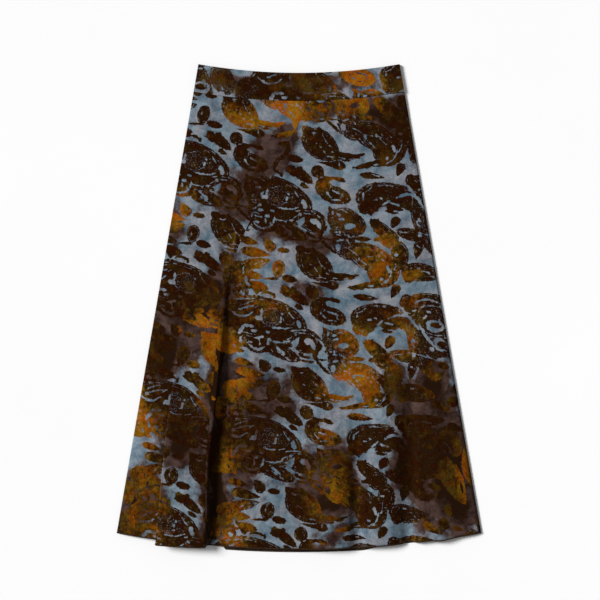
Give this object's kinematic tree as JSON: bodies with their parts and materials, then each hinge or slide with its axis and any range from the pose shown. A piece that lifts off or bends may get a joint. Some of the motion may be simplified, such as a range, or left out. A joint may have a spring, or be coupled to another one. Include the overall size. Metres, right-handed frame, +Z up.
{
  "type": "a-line midi skirt",
  "caption": "Pull-on A-line midi skirt in paisley burnout velvet with a curved mock-wrap front seam, laid flat.",
  "frame": {"origin": "centre of the laid skirt's footprint, on the surface it lies on", "axes": "+Y to the waist, +X to the right of the front as seen from above, +Z up out of the front"},
  "size_m": [0.6186, 0.8278, 0.0201],
  "materials": {
    "burnout_velvet": "dark paisley pile on a thin smooth over-dyed ground",
    "band_velvet": "dark paisley pile on a thin smooth over-dyed ground, folded double over flat elastic"
  },
  "bodies": {
    "root": {"waistband_front": "band_velvet", "waistband_back": "band_velvet", "front_left_panel": "burnout_velvet", "front_main_panel": "burnout_velvet", "back_panel": "burnout_velvet"}
  },
  "joints": []
}
